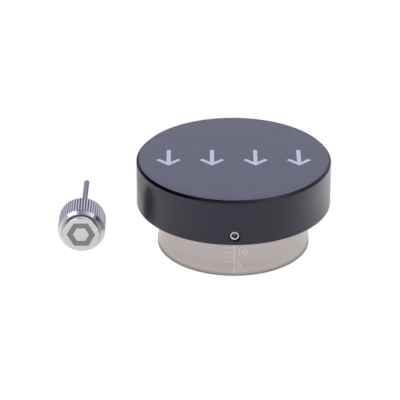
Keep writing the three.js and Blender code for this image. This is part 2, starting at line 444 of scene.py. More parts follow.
# Radius on a grid of heights and turns: core + depth * ridge, fading out over the last stretch at each end.
def threadRadius(heights, turns, low, high, core, crest, foot):
    size = depthThread
    phase = heights / size["pitch"] - turns / (2 * math.pi)
    fade = smoothStep((heights - low) / size["runOut"]) * smoothStep((high - heights) / size["runOut"])
    return core + size["depth"] * ridgeShare(phase, crest, foot) * fade


# The M4 thread of the lock screw and of its hole.
lockThread = {
    "pitch": 0.7 * mm,
    "depth": 0.36 * mm,
    "fadeOver": 0.5 * mm,
    "flank": 2.3,  # fall down a flank, in depths to a pitch
    "crest": 0.08,  # taken off that fall, which leaves the crests flat
}


# Share of the thread's depth at each place along the screw's axis and round it: 0 on a crest, 1 in a root,
# and flank * distance from the crest in pitches - crest between them.
def lockGroove(along, turns):
    phase = along / lockThread["pitch"] - turns / (2 * math.pi)
    return np.clip(lockThread["flank"] * np.abs(phase - np.round(phase)) - lockThread["crest"], 0, 1)


anodisedLook = {
    "colour": (0.0022, 0.0020, 0.0034, 1.0),
    "paler": (0.0042, 0.0038, 0.0062, 1.0),
    "tint": (0.82, 0.78, 1.0, 1.0),
    "ior": 1.6,
    "roughness": 0.27,
    "roughnessSpread": 0.06,
    "cloudSize": 9 * mm,
    "blastSize": 0.22 * mm,
    "blastDepth": 0.004 * mm,
    "blastRoughness": 0.05,
}


# Black anodised aluminium: a bead-blasted grain under a hard dark skin that mirrors softly. Roughness is
# the look's own + spread * (cloud - 1/2) + the blast's * (blast - 1/2).
def anodisedMaterial():
    look = anodisedLook
    material, recipe = newMaterial("blackAnodised")
    x, y, z = recipe.place()
    spot = recipe.vector(x, y, z)
    blast = recipe.grain(spot, look["blastSize"], detail=3)
    cloud = recipe.grain(spot, look["cloudSize"], detail=3)
    roughness = look["roughness"] + (cloud - 0.5) * look["roughnessSpread"]
    roughness = roughness + (blast - 0.5) * look["blastRoughness"]
    recipe.surface({
        "Base Color": recipe.blendColours(cloud, look["colour"], look["paler"]),
        "Metallic": 0.0,
        "IOR": look["ior"],
        "Specular Tint": look["tint"],
        "Roughness": roughness,
        "Normal": recipe.bump(blast, look["blastDepth"]),
    })
    return material


capSize = {
    "rimZ": capLow.z,
    "topZ": capHigh.z,
    "radius": capHigh.x,
    "topChamfer": 0.9 * mm,
    "rimChamfer": 0.4 * mm,
    "edgeRound": 0.14 * mm,
    "boreRadius": 28.8 * mm,
    "cavityDepth": 15.2 * mm,
    "cornerRound": 0.6 * mm,
    "cornerSteps": 4,
    "bossEnd": 1.1 * mm,
    "bossChamfer": 0.45 * mm,
    "bossPlain": 0.2 * mm,  # between the boss's chamfer and its thread
    "ringStep": 5 * mm,
    "columns": 232,  # outside the patch round the lock hole
    "threadStep": 0.16 * mm,
}

lockHole = {
    "radius": 2.1 * mm,
    "mouthChamfer": 0.3 * mm,
    "patchHalf": 3.4 * mm,  # of the square patch of the wall that holds the hole
    "patchCells": 16,
    "patchRings": 6,
    "wallRows": 90,
}


# Turns of the cap's columns: fine across the patch round the hole, at -Y, and coarser the rest of the way.
# The patch reaches asin(half its width / radius) to either side.
def capTurns():
    half = math.asin(lockHole["patchHalf"] / capSize["radius"])
    front = -math.pi / 2
    fine = front + np.linspace(-half, half, lockHole["patchCells"] + 1)
    rest = front + np.linspace(half, 2 * math.pi - half, capSize["columns"] + 1)
    return fine, rest


# A round wall with a round hole: the patch between them is blended from the hole's circle to the square's
# edge, x and z = (1-k) * circle + k * square, and laid on the wall at y = -sqrt(radius^2 - x^2).
def wallWithHole(radius, lowZ, highZ, holeRadius, holeTurns):
    fine, rest = capTurns()
    cells = lockHole["patchCells"]
    rows = np.linspace(lowZ, highZ, cells + 1)
    wall = roundSkin(standing, radius, rows[:, None], rest)
    edgeX = radius * np.cos(fine)
    squareX = np.concatenate([edgeX[:-1], np.full(cells, edgeX[-1]), edgeX[:0:-1], np.full(cells, edgeX[0])])
    squareZ = np.concatenate([np.full(cells, lowZ), rows[:-1], np.full(cells, highZ), rows[:0:-1]])
    squareX, squareZ = np.append(squareX, squareX[0]), np.append(squareZ, squareZ[0])
    circleX = holeRadius * np.cos(holeTurns)
    circleZ = screwAxis["centre"][2] + holeRadius * np.sin(holeTurns)
    share = np.linspace(0, 1, lockHole["patchRings"])[:, None]
    x = (1 - share) * circleX + share * squareX
    z = (1 - share) * circleZ + share * squareZ
    patch = skin(np.stack([x, -np.sqrt(radius ** 2 - x ** 2), z], -1))
    return [wall, patch]


# Turns, about the hole's axis, of the points of the patch's square edge: atan2(z, x), run on once round.
def lockHoleTurns():
    cells, half = lockHole["patchCells"], lockHole["patchHalf"]
    step = np.linspace(-half, half, cells + 1)
    x = np.concatenate([step[:-1], np.full(cells, half), step[:0:-1], np.full(cells, -half)])
    z = np.concatenate([np.full(cells, -half), step[:-1], np.full(cells, half), step[:0:-1]])
    turns = np.unwrap(np.arctan2(z, x))
    return np.append(turns, turns[0] + 2 * math.pi)


# The hole's own wall: a small cone at the mouth, then an M4 nut thread, both between the cap's curved
# outside, y = -sqrt(R^2 - x^2), and its curved bore.
def lockHoleWall(turns):
    hole, axisZ = lockHole, screwAxis["centre"][2]
    mouth = hole["radius"] + hole["mouthChamfer"]
    mouthX = mouth * np.cos(turns)
    mouthY = -np.sqrt(capSize["radius"] ** 2 - mouthX ** 2)
    innerX = hole["radius"] * np.cos(turns)
    firstY = mouthY + hole["mouthChamfer"]
    lastY = -np.sqrt(capSize["boreRadius"] ** 2 - innerX ** 2)
    share = np.linspace(0, 1, hole["wallRows"])[:, None]
    y = (1 - share) * firstY + share * lastY
    fade = smoothStep((y - firstY) / lockThread["fadeOver"])
    fade = fade * smoothStep((lastY - y) / lockThread["fadeOver"])
    radius = hole["radius"] - lockThread["depth"] * lockGroove(-y, turns) * fade
    thread = np.stack([radius * np.cos(turns), y, axisZ + radius * np.sin(turns)], -1)
    edge = np.stack([mouthX, mouthY, axisZ + mouth * np.sin(turns)], -1)
    return skin(np.concatenate([edge[None], thread]))


# The cap's shell, turned from the middle of the boss's end up its thread, across the roof, down the bore,
# round the rim and up the outside to the middle of the top. The band at the height of the lock hole is
# left out of that, and closed by the two walls that have the hole in them.
def buildCap():
    size = capSize
    fine, rest = capTurns()
    turns = np.concatenate([fine, rest[1:]])
    radius, bore, core = size["radius"], size["boreRadius"], depthThread["coreRadius"]
    rim, top = size["rimZ"], size["topZ"] - pressMarks["proud"]
    roof = rim + size["cavityDepth"]
    bossLow = rim + size["bossEnd"]
    chamferTop = bossLow + size["bossChamfer"]
    threadLow = chamferTop + size["bossPlain"]
    bandLow = screwAxis["centre"][2] - lockHole["patchHalf"]
    bandHigh = screwAxis["centre"][2] + lockHole["patchHalf"]

    bossEnd = roundCorners([(0, bossLow), (core - size["bossChamfer"], bossLow), (core, chamferTop),
                            (core, threadLow)], size["edgeRound"])
    threadZ = np.arange(threadLow, roof - size["cornerRound"] * 2, size["threadStep"])[:, None]
    threadR = threadRadius(threadZ, turns[None], threadZ[0], threadZ[-1], core, depthThread["crest"],
                           depthThread["foot"])
    underside = roundCorners([(core, threadZ[-1, 0]), (core, roof), (bore, roof), (bore, bandHigh)],
                             size["cornerRound"], size["cornerSteps"])
    rimProfile = roundCorners([(bore, bandLow), (bore, rim + size["rimChamfer"]),
                               (bore + size["rimChamfer"], rim), (radius - size["rimChamfer"], rim),
                               (radius, rim + size["rimChamfer"]), (radius, bandLow)], size["edgeRound"])
    outside = roundCorners([(radius, bandHigh), (radius, top - size["topChamfer"]),
                            (radius - size["topChamfer"], top), (0, top)], size["edgeRound"])
    surfaces = [turnedSkin(standing, profile, turns)
                for profile in (bossEnd, fillIn(underside, size["ringStep"]), rimProfile,
                                fillIn(outside, size["ringStep"]))]
    surfaces.append(roundSkin(standing, threadR, threadZ, turns))
    holeTurns = lockHoleTurns()
    mouth = lockHole["radius"] + lockHole["mouthChamfer"]
    surfaces += wallWithHole(bore, bandLow, bandHigh, lockHole["radius"], holeTurns)
    surfaces += wallWithHole(radius, bandLow, bandHigh, mouth, holeTurns)
    surfaces.append(lockHoleWall(holeTurns))
    return buildPiece("capShell", surfaces, anodisedMaterial(), "cap", ["palm_cap"])


# Press marks on the cap: a row of plain arrows.
pressMarks = {
    "count": 4,
    "spacing": 16.6 * mm,
    "length": 13.6 * mm,
    "halfWidth": 4.7 * mm,
    "stroke": 1.55 * mm,
    "proud": 0.012 * mm,
    "root": 0.05 * mm,
    "colour": (0.62, 0.62, 0.64, 1),
    "paler": (0.72, 0.72, 0.74, 1),
    "metallic": 0.7,
    "roughness": 0.5,
}


# Outline of an arrow pointing along -Y: a shaft and two barbs at 45 degrees, all of one stroke width.
def arrowOutline(length, halfWidth, stroke):
    tip, half = -length / 2, stroke / 2
    across = stroke / math.sqrt(2)
    right = [(half, length / 2), (half, half + tip + 2 * across),
             (halfWidth - across, tip + halfWidth + across), (halfWidth, tip + halfWidth), (0, tip)]
    left = [(-x, y) for x, y in right[-2::-1]]
    return np.array(right + left)


# A flat outline given a thickness: its face on top, its back below, and a wall between them.
def slabMesh(name, outlines, place):
    vertices, faces = [], []
    for outline in outlines:
        count, start = len(outline), len(vertices)
        vertices += [place(point, 1) for point in outline] + [place(point, 0) for point in outline]
        faces.append(list(range(start, start + count)))
        faces.append(list(range(start + 2 * count - 1, start + count - 1, -1)))
        ring = np.arange(count)
        after = (ring + 1) % count
        faces += (np.stack([ring, ring + count, after + count, after], -1) + start).tolist()
    mesh = bpy.data.meshes.new(name)
    mesh.from_pydata(vertices, [], faces)
    mesh.update(calc_edges=True)
    return mesh


# The arrows stand side by side, the first at -spacing * (count - 1) / 2.
def buildPressMarks():
    size = pressMarks
    outline = arrowOutline(size["length"], size["halfWidth"], size["stroke"])
    firstX = -size["spacing"] * (size["count"] - 1) / 2
    outlines = [outline + (firstX + index * size["spacing"], 0) for index in range(size["count"])]

    def onTop(point, face):
        return point[0], point[1], capHigh.z - (0 if face else size["root"])

    mesh = slabMesh("pressMarks", outlines, onTop)
    return finishPiece("pressMarks", mesh, etchedMaterial("capEtching", size), "cap")


baseLook = {
    "colour": (0.48, 0.432, 0.425, 1.0),
    "paler": (0.54, 0.485, 0.48, 1.0),
    "roughness": 0.26,
    "roughnessSpread": 0.16,
    "lineSize": 0.09 * mm,
    "lineDepth": 0.0025 * mm,
    "cloudSize": 14 * mm,
}

baseSize = {
    "faceRadius": baseHigh.x,
    "relief": 0.55 * mm,
    "lipHeight": 1.6 * mm,
    "lipChamfer": 0.4 * mm,
    "flareHeight": 5.6 * mm,
    "flareSteps": 16,
    "height": baseHigh.z,
    "topChamfer": 0.4 * mm,
    "edgeRound": 0.1 * mm,
    "grooveLow": 25.25 * mm,
    "grooveHigh": 27.15 * mm,
    "grooveRadius": 27.05 * mm,
    "holeFloor": 13 * mm,
    "mouthRadius": 15.65 * mm,
    "plainMouth": 1.6 * mm,  # from the top down to where the thread starts
    "floorRings": 4,
    "columns": 256,
    "ringStep": 5 * mm,
    "threadStep": 0.16 * mm,
}


# The base, turned from the middle of its face out round the lip, up the flare, where
# radius = neck + relief * (1 - smooth step), past the seal's groove and over the top into the threaded hole.
def buildBase():
    size, thread = baseSize, depthThread
    turns = fullTurn(size["columns"])
    face, neck = size["faceRadius"], size["faceRadius"] - size["relief"]
    top, core = size["height"], thread["coreRadius"] + thread["nutRoom"]
    threadHigh = top - size["plainMouth"]
    share = np.linspace(0, 1, size["flareSteps"] + 1)[1:-1]
    flare = np.stack([neck + size["relief"] * (1 - smoothStep(share)),
                      size["lipHeight"] + size["flareHeight"] * share], -1)
    lower = roundCorners([(0, 0), (face - size["lipChamfer"], 0), (face, size["lipChamfer"]),
                          (face, size["lipHeight"])], size["edgeRound"])
    grooveLow, grooveHigh, grooveRadius = (size[part] for part in ("grooveLow", "grooveHigh", "grooveRadius"))
    upper = roundCorners([(neck, size["lipHeight"] + size["flareHeight"]), (neck, grooveLow),
                          (grooveRadius, grooveLow), (grooveRadius, grooveHigh),
                          (neck, grooveHigh), (neck, top - size["topChamfer"]),
                          (neck - size["topChamfer"], top), (size["mouthRadius"], top),
                          (core, top - (size["mouthRadius"] - core)), (core, threadHigh)], size["edgeRound"])
    profile = fillIn(np.concatenate([lower, flare, upper]), size["ringStep"])
    rows = int((threadHigh - size["holeFloor"]) / size["threadStep"])
    threadZ = np.linspace(threadHigh, size["holeFloor"], rows)[:, None]
    threadR = threadRadius(threadZ, turns[None], size["holeFloor"], threadHigh, core,
                           thread["nutCrest"], thread["nutFoot"])
    floor = np.linspace(core, 0, size["floorRings"] + 1)[:, None]
    surfaces = [turnedSkin(standing, profile, turns), roundSkin(standing, threadR, threadZ, turns),
                roundSkin(standing, floor, size["holeFloor"], turns)]
    steel = turnedMaterial("turnedSteel", baseLook, standing)
    return buildPiece("baseBody", surfaces, steel, "base", ["tamping_base"])


# The depth scale etched on the base's side: one upright line, ticks to its left and figures to its right.
depthScale = {
    "lineWidth": 0.34 * mm,
    "lineLow": 0.8 * mm,
    "lineHigh": 25 * mm,
    "tickWidth": 0.3 * mm,
    "tickLong": 4.2 * mm,
    "tickShort": 3.4 * mm,
    "tickStep": 2 * mm,
    "tickClear": 0.02 * mm,  # between a tick and the line
    "firstTick": 6 * mm,
    "tickCount": 9,
    "proud": 0.03 * mm,
    "root": 0.05 * mm,
    "figures": (5, 10, 15),  # each stands at its own height in millimetres
    "figureHeight": 2.9 * mm,
    "figureShare": 0.7,  # of the type's size that a figure is high
    "figureGap": 0.9 * mm,
    "curveSteps": 6,
    "cellWidth": 0.5 * mm,
    "trueHeight": 15 * mm,  # where distances round the side are measured
    "colour": (0.72, 0.67, 0.66, 1),
    "paler": (0.8, 0.75, 0.74, 1),
    "metallic": 1.0,
    "roughness": 0.5,
}


# Radius of the base's side at a height: the neck + the lip's relief * (1 - smooth step up the flare).
def sideRadius(heights):
    size = baseSize
    share = np.clip((heights - size["lipHeight"]) / size["flareHeight"], 0, 1)
    return size["faceRadius"] - size["relief"] * smoothStep(share)


# Lays something flat on the base's side, from its distance round the side, its height and its lift:
# turn = distance / radius, and the point is ((R + lift) sin(turn), -(R + lift) cos(turn), z).
def onSide(across, z, lift):
    radius = sideRadius(z) + lift
    turn = across / sideRadius(depthScale["trueHeight"])
    return np.stack([radius * np.sin(turn), -radius * np.cos(turn), z], -1)


# A thin bar on the base's side, from low to high in distance round the side and in height: its front, its
# back and the four narrow edges between them.
def sideBar(lowAcross, highAcross, lowZ, highZ):
    cell = depthScale["cellWidth"]
    across = np.linspace(lowAcross, highAcross, 2 + int((highAcross - lowAcross) / cell))
    heights = np.linspace(lowZ, highZ, 2 + int((highZ - lowZ) / cell))
    z = np.broadcast_to(heights[:, None], (heights.size, across.size))
    front, back = (onSide(across, z, lift) for lift in (depthScale["proud"], -depthScale["root"]))
    edges = [np.stack([front[0], back[0]]), np.stack([back[-1], front[-1]]),
             np.stack([back[:, 0], front[:, 0]]), np.stack([front[:, -1], back[:, -1]])]
    return [skin(front), skin(back[:, ::-1])] + [skin(edge) for edge in edges]


# The line and its ticks, at first + index * step, long and short by turns.
def buildScale(etching):
    size = depthScale
    half, thick = size["lineWidth"] / 2, size["tickWidth"] / 2
    surfaces = sideBar(-half, half, size["lineLow"], size["lineHigh"])
    for index in range(size["tickCount"]):
        height = size["firstTick"] + index * size["tickStep"]
        length = size["tickShort"] if index % 2 else size["tickLong"]
        surfaces += sideBar(-length, -half - size["tickClear"], height - thick, height + thick)
    return buildPiece("depthScale", surfaces, etching, "base")


# A plain figure as a flat mesh, with a little thickness.
def figureMesh(value):
    size = depthScale
    curve = bpy.data.curves.new(f"figure{value}", "FONT")
    curve.body = str(value)
    curve.size = size["figureHeight"] / size["figureShare"]
    curve.extrude = (size["proud"] + size["root"]) / 2
    curve.resolution_u = size["curveSteps"]
    holder = bpy.data.objects.new(curve.name, curve)
    bpy.context.scene.collection.objects.link(holder)
    bpy.context.view_layer.update()
    flat = bpy.data.meshes.new_from_object(holder.evaluated_get(bpy.context.evaluated_depsgraph_get()))
    bpy.data.objects.remove(holder)
    return flat


# Plain figures beside the scale, laid on the base's side with their middles at their own heights.
def buildFigures(etching):
    size = depthScale
    joined = bmesh.new()
    for value in size["figures"]:
        flat = figureMesh(value)
        points = np.zeros(len(flat.vertices) * 3)
        flat.vertices.foreach_get("co", points)
        x, y, lift = points.reshape(-1, 3).T
        laid = onSide(x + size["figureGap"], y - size["figureHeight"] / 2 + value * mm,
                      lift + (size["proud"] - size["root"]) / 2)
        flat.vertices.foreach_set("co", laid.ravel())
        joined.from_mesh(flat)
    mesh = bpy.data.meshes.new("scaleFigures")
    joined.to_mesh(mesh)
    joined.free()
    return finishPiece("scaleFigures", mesh, etching, "base")


# The rubber ring in the base's groove.
sealRing = {
    "cordColumns": 20,
    "columns": 192,
    "colour": (0.012, 0.012, 0.012, 1),
    "paler": (0.03, 0.03, 0.031, 1),
    "roughness": 0.62,
    "roughnessSpread": 0.1,
    "bloomSize": 4 * mm,
    "fineSize": 0.12 * mm,
    "fineDepth": 0.004 * mm,
}


# Black moulded rubber with a faint bloom: the bloom's noise runs the colour from dark to paler, and a fine
# noise roughens it.
def rubberMaterial():
    look = sealRing
    material, recipe = newMaterial("sealRubber")
    x, y, z = recipe.place()
    spot = recipe.vector(x, y, z)
    bloom = recipe.grain(spot, look["bloomSize"], detail=4)
    fine = recipe.grain(spot, look["fineSize"])
    recipe.surface({
        "Base Color": recipe.blendColours(bloom, look["colour"], look["paler"]),
        "Roughness": look["roughness"] + (fine - 0.5) * look["roughnessSpread"],
        "Normal": recipe.bump(fine, look["fineDepth"]),
    })
    return material


# A round cord carried round: radius = ring + cord * cos(turn), height = middle + cord * sin(turn).
def buildSeal():
    cord = (sealHigh.z - sealLow.z) / 2
    middleZ = (sealHigh.z + sealLow.z) / 2
    cordTurns = fullTurn(sealRing["cordColumns"])
    radii = sealHigh.x - cord + cord * np.cos(cordTurns)
    heights = middleZ + cord * np.sin(cordTurns)
    ring = roundSkin(standing, radii[:, None], heights[:, None], fullTurn(sealRing["columns"]))
    return buildPiece("sealRing", [ring], rubberMaterial(), "seal", ["seal_ring"])


screwSize = {
    "radius": screwHigh.x,
    "outerEnd": -screwLow.y,
    "point": -screwHigh.y,
    "endChamfer": 0.4 * mm,
    "chamferRows": 6,
    "edgeRound": 0.05 * mm,
    "cupRadius": 1.2 * mm,
    "cupDepth": 0.5 * mm,
    "socketApothem": 1.04 * mm,
    "socketDepth": 2.5 * mm,
    "socketMiddle": 1.2 * mm,  # depth of one more ring of points down the socket
    "socketChamfer": 0.14 * mm,
    "drillShare": 0.98,  # of the apothem, at the edge of the drilled bottom
    "drillEdge": 0.02 * mm,
    "drillDepth": 0.5 * mm,
    "columns": 60,
    "threadStep": 0.05 * mm,
}

screwLook = {
    "colour": (0.62, 0.61, 0.63, 1.0),
    "paler": (0.74, 0.73, 0.76, 1.0),
    "roughness": 0.18,
    "roughnessSpread": 0.1,
    "lineSize": 0.05 * mm,
    "lineDepth": 0.002 * mm,
    "cloudSize": 1.2 * mm,
    # painted shade colour, darkening the socket's colour down the hole
    "shade": (0.06, 0.058, 0.065, 1.0),  # down the socket
    "shadeTone": 0.55,
    "shadeRough": 0.05,
    "shadeOut": 1.25,  # how far out the shade reaches, in apothems of the socket
    "shadeEdge": 0.05 * mm,
    "shadeFrom": 0.1 * mm,  # depth at which it begins, and the depth over which it grows
    "shadeOver": 0.8 * mm,
}


# Painted shade of the lock screw, laid into its socket's colour: inside the ring of the outer end it grows as
# (depth - from) / over.
def screwShade(outward, along):
    size, look = screwSize, screwLook
    inside = ((size["socketApothem"] * look["shadeOut"] - outward) / look["shadeEdge"]).clamped()
    deep = ((size["outerEnd"] - look["shadeFrom"] - along) / look["shadeOver"]).clamped()
    return inside * deep * look["shadeTone"], inside * deep * look["shadeRough"]


# The lock screw, along its axis: a cupped point, the thread, radius - depth * groove, the chamfered outer
# end, and the hexagonal socket with a drilled bottom.
def buildScrew():
    size = screwSize
    turns = fullTurn(size["columns"])
    start, end = size["point"], size["outerEnd"]
    chamferLow = end - size["endChamfer"]
    body = size["radius"] - size["endChamfer"]
    lower = roundCorners([(0, start + size["cupDepth"]), (size["cupRadius"], start), (body, start),
                          (size["radius"], start + size["endChamfer"])], size["edgeRound"], 2)
    along = np.arange(start + size["endChamfer"], chamferLow, size["threadStep"])[:, None]
    fade = smoothStep((along - along[0]) / lockThread["pitch"] * 2)
    threaded = size["radius"] - lockThread["depth"] * lockGroove(along, turns[None]) * fade
    chamferAt = np.linspace(chamferLow, end, size["chamferRows"] + 1)[1:, None]
    chamfer = np.minimum(size["radius"] - lockThread["depth"] * lockGroove(chamferAt, turns[None]),
                         size["radius"] - (chamferAt - chamferLow))
    hexWide = hexagonAt(turns, size["socketApothem"] + size["socketChamfer"])
    hexagon = hexagonAt(turns, size["socketApothem"])
    flat = np.stack([np.full_like(turns, body), hexWide])
    socket = np.stack([hexWide, hexagon, hexagon, hexagon])
    socketDepths = np.array([0, size["socketChamfer"], size["socketMiddle"], size["socketDepth"]])[:, None]
    drill = np.stack([hexagon, np.full_like(turns, size["socketApothem"] * size["drillShare"]), turns * 0])
    drillDepths = size["socketDepth"] + np.array([0, size["drillEdge"], size["drillDepth"]])[:, None]
    side, sideAt = np.concatenate([threaded, chamfer]), np.concatenate([along, chamferAt])
    surfaces = [turnedSkin(screwAxis, lower, turns),
                roundSkin(screwAxis, side, sideAt, turns),
                roundSkin(screwAxis, flat, end, turns),
                roundSkin(screwAxis, socket, end - socketDepths, turns),
                roundSkin(screwAxis, drill, end - drillDepths, turns)]
    steel = turnedMaterial("screwSteel", screwLook, screwAxis, screwShade)
    return buildPiece("lockScrew", surfaces, steel, "screw", ["lock_screw"])


lockPad = {
    "chamfer": 0.2 * mm,
    "edgeRound": 0.08 * mm,
    "columns": 64,
    "colour": (0.62, 0.42, 0.14, 1.0),
    "paler": (0.76, 0.56, 0.22, 1.0),
    "roughness": 0.3,
    "roughnessSpread": 0.12,
    "lineSize": 0.06 * mm,
    "lineDepth": 0.002 * mm,
    "cloudSize": 1 * mm,
}


# The brass pad between the screw's point and the base: a short turned bar with both edges chamfered.
def buildPad():
    radius, chamfer = padHigh.x, lockPad["chamfer"]
    start, end = -padHigh.y, -padLow.y
    profile = roundCorners([(0, start), (radius - chamfer, start), (radius, start + chamfer),
                            (radius, end - chamfer), (radius - chamfer, end), (0, end)], lockPad["edgeRound"])
    pad = turnedSkin(screwAxis, profile, fullTurn(lockPad["columns"]))
    brass = turnedMaterial("padBrass", lockPad, screwAxis)
    return buildPiece("lockPad", [pad], brass, "pad", ["lock_pad"])


knobSize = {
    "radius": (knobHigh.z - knobLow.z) / 2 - 0.002 * mm,
    "length": 14.1 * mm,
    "faceRadius": 7.1 * mm,
    "faceRise": 2.2 * mm,
    "faceChamfer": 0.25 * mm,
    "faceStep": 1.5 * mm,
    "grooveDepth": 0.5 * mm,
    "bevelFoot": 7.55 * mm,  # radius where the bevel starts, outside the groove
    "bevelPlain": 0.2 * mm,  # of the bevel, before its rows
    "bevelRows": 22,
    "rearChamfer": 0.5 * mm,
    "rearRows": 8,
    "edgeRound": 0.06 * mm,
    "knurls": 52,
    "columnsEach": 8,
    "knurlDepth": 0.38 * mm,
    "knurlCrest": 0.15,  # half the flat top's width, in pitches
    "seatApothem": 1.05 * mm,
    "seatDepth": 8 * mm,
    "hexTurn": math.radians(8.5),  # of the blade and its seat, from corner up
}

knobLook = {
    "colour": (0.60, 0.59, 0.62, 1.0),
    "paler": (0.72, 0.71, 0.73, 1.0),
    "roughness": 0.22,
    "roughnessSpread": 0.12,
    "lineSize": 0.08 * mm,
    "lineDepth": 0.002 * mm,
    "cloudSize": 3 * mm,
    # painted shade colour, laid into the knurl's bottoms and the groove round the face; on the crests a small
    # share of it is the knurl's own darker colour
    "shade": (0.05, 0.048, 0.055, 1.0),  # in the bottoms of the knurl and of the groove
    "knurlTone": 0.16,  # share of that shade on the knurl's crests, and on its bottoms
    "knurlBottom": 0.95,
    "knurlRough": 0.16,
    "knurlEdge": 0.1 * mm,  # over which the knurl's shade comes in
    "grooveTone": 0.25,
    "grooveEdge": 0.02 * mm,
}


# Painted shade of the knob: on the knurl, behind the bevel's cone, it grows from the crests to the bottoms,
# as (radius - distance out) / depth, and it fills the groove round the face. The small share on the crests
# stands for the knurled surface's own darker colour; the rise to the bottoms and the groove's share are
# painted shade.
def knobShade(outward, along):
    size, look = knobSize, knobLook
    behind = ((-along - size["faceRise"] - (outward - size["bevelFoot"])) / look["knurlEdge"]).clamped()
    behind = behind * ((outward - size["bevelFoot"]) / look["knurlEdge"]).clamped()
    deep = ((size["radius"] - outward) / size["knurlDepth"]).clamped()
    knurl = behind * (look["knurlTone"] + deep * (look["knurlBottom"] - look["knurlTone"]))
    grooved = ((-along - size["faceRise"]) / size["grooveDepth"]).clamped()
    inGroove = grooved * ((size["bevelFoot"] + look["grooveEdge"] - outward) / look["grooveEdge"]).clamped()
    return (knurl + inGroove * look["grooveTone"]).clamped(), behind * look["knurlRough"]


# Radius of the knurl at each turn: radius - depth * share, the share being 0 on the flat crests and rising
# evenly to 1 in the bottom between two of them.
def knurlRadius(turns):
    size = knobSize
    tooth = turns * size["knurls"] / (2 * math.pi)
    away = np.abs(tooth - np.round(tooth))
    share = np.clip((away - size["knurlCrest"]) / (0.5 - size["knurlCrest"]), 0, 1)
    return size["radius"] - size["knurlDepth"] * share


# Distance from the key's axis to its hexagon's side, the blade's or its seat's, at each turn.
def keyHexagon(turns, apothem):
    return hexagonAt(turns, apothem, math.pi / 2 - knobSize["hexTurn"])


# The knob, from the middle of its face back: the face and its groove, the bevel, cut off where it meets the
# knurl, the knurled grip, the rear chamfer, the flat rear and the hexagonal seat.
def buildKnob():
    size = knobSize
    turns = fullTurn(size["knurls"] * size["columnsEach"])
    knurl = knurlRadius(turns)
    foot, rear, plain = size["bevelFoot"], -size["length"], size["bevelPlain"]
    rise, groove = -size["faceRise"], -size["faceRise"] - size["grooveDepth"]
    face = roundCorners([(0, 0), (size["faceRadius"] - size["faceChamfer"], 0),
                         (size["faceRadius"], -size["faceChamfer"]), (size["faceRadius"], groove),
                         (foot, groove), (foot, rise), (foot + plain, rise - plain)], size["edgeRound"])
    bevelAt = np.linspace(plain, size["radius"] - foot, size["bevelRows"])[:, None]
    bevel = np.minimum(foot + bevelAt, knurl[None])
    gripFront, gripRear = rise - bevelAt[-1, 0], rear + size["rearChamfer"]
    chamferAt = np.linspace(0, size["rearChamfer"], size["rearRows"])[:, None]
    chamfer = np.minimum(size["radius"] - chamferAt, knurl[None])
    hexagon = keyHexagon(turns, size["seatApothem"])
    flat = np.stack([chamfer[-1], (chamfer[-1] + hexagon) / 2, hexagon])
    seatFloor = rear + size["seatDepth"]
    gripAt, seatAt = (np.array(ends)[:, None] for ends in ((gripFront, gripRear), (rear, seatFloor)))
    surfaces = [turnedSkin(keyAxis, fillIn(face, size["faceStep"]), turns),
                roundSkin(keyAxis, bevel, rise - bevelAt, turns),
                roundSkin(keyAxis, np.stack([knurl, knurl]), gripAt, turns),
                roundSkin(keyAxis, chamfer, gripRear - chamferAt, turns),
                roundSkin(keyAxis, flat, rear, turns),
                roundSkin(keyAxis, np.stack([hexagon, hexagon]), seatAt, turns),
                roundSkin(keyAxis, np.stack([hexagon, hexagon * 0]), seatFloor, turns)]
    steel = turnedMaterial("knobSteel", knobLook, keyAxis, knobShade)
    return buildPiece("keyKnob", surfaces, steel, "key", ["key_knob"], sharpAngle=20)


bladeSize = {
    "apothem": 1.0 * mm,
    "inner": -6.2 * mm,
    "tip": -45.4 * mm,
    "edgeRadius": 1.1 * mm,  # where the hexagon's corners are worn to
    "tipRound": 0.5 * mm,
    "tipRows": 8,
    "rows": 12,
    "columns": 72,
}

bladeLook = {
    "colour": (0.20, 0.195, 0.235, 1.0),
    "paler": (0.30, 0.295, 0.34, 1.0),
    "roughness": 0.33,
    "roughnessSpread": 0.15,
    "drawSize": 0.05 * mm,
    "drawStretch": 60,
    "drawDepth": 0.002 * mm,
    "cloudSize": 2 * mm,
}


# Drawn steel bar: fine lines along its length, the grain being squeezed along Y.
def drawnMaterial():
    look = bladeLook
    material, recipe = newMaterial("drawnSteel")
    x, y, z = recipe.place()
    lines = recipe.grain(recipe.vector(x, y / look["drawStretch"], z), look["drawSize"], detail=3)
    cloud = recipe.grain(recipe.vector(x, y, z), look["cloudSize"], detail=2)
    recipe.surface({
        "Base Color": recipe.blendColours(cloud, look["colour"], look["paler"]),
        "Metallic": 1.0,
        "Roughness": look["roughness"] + (lines - 0.5) * look["roughnessSpread"],
        "Normal": recipe.bump(lines, look["drawDepth"]),
    })
    return material


# The hexagonal bar, its end rounded: radius = edge - round * (1 - sqrt(1 - (1 - k)^2)) at k * round from
# the tip.
def buildBlade():
    size = bladeSize
    turns = fullTurn(size["columns"])
    bar = np.minimum(keyHexagon(turns, size["apothem"]), size["edgeRadius"])
    share = np.linspace(0, 1, size["tipRows"])[:, None]
    dome = size["edgeRadius"] - size["tipRound"] * (1 - np.sqrt(1 - (1 - share) ** 2))
    tip = np.minimum(dome, bar[None])
    tipAt = size["tip"] + size["tipRound"] * share
    barAt = np.linspace(size["inner"], size["tip"] + size["tipRound"], size["rows"])[:, None]
    surfaces = [roundSkin(keyAxis, np.stack([bar * 0, bar]), size["inner"], turns),
                roundSkin(keyAxis, bar[None], barAt, turns),
                roundSkin(keyAxis, tip, tipAt, turns),
                roundSkin(keyAxis, np.stack([tip[0], tip[0] * 0]), size["tip"], turns)]
    return buildPiece("keyBlade", surfaces, drawnMaterial(), "key", ["key_blade"])


keyMark = {
    "outer": 5.5 * mm,
    "inner": 3.1 * mm,
    "proud": 0.012 * mm,
    "root": 0.04 * mm,
    "colour": (0.26, 0.24, 0.25, 1),
    "paler": (0.34, 0.315, 0.325, 1),
    "metallic": 1.0,
    "roughness": 0.55,
}


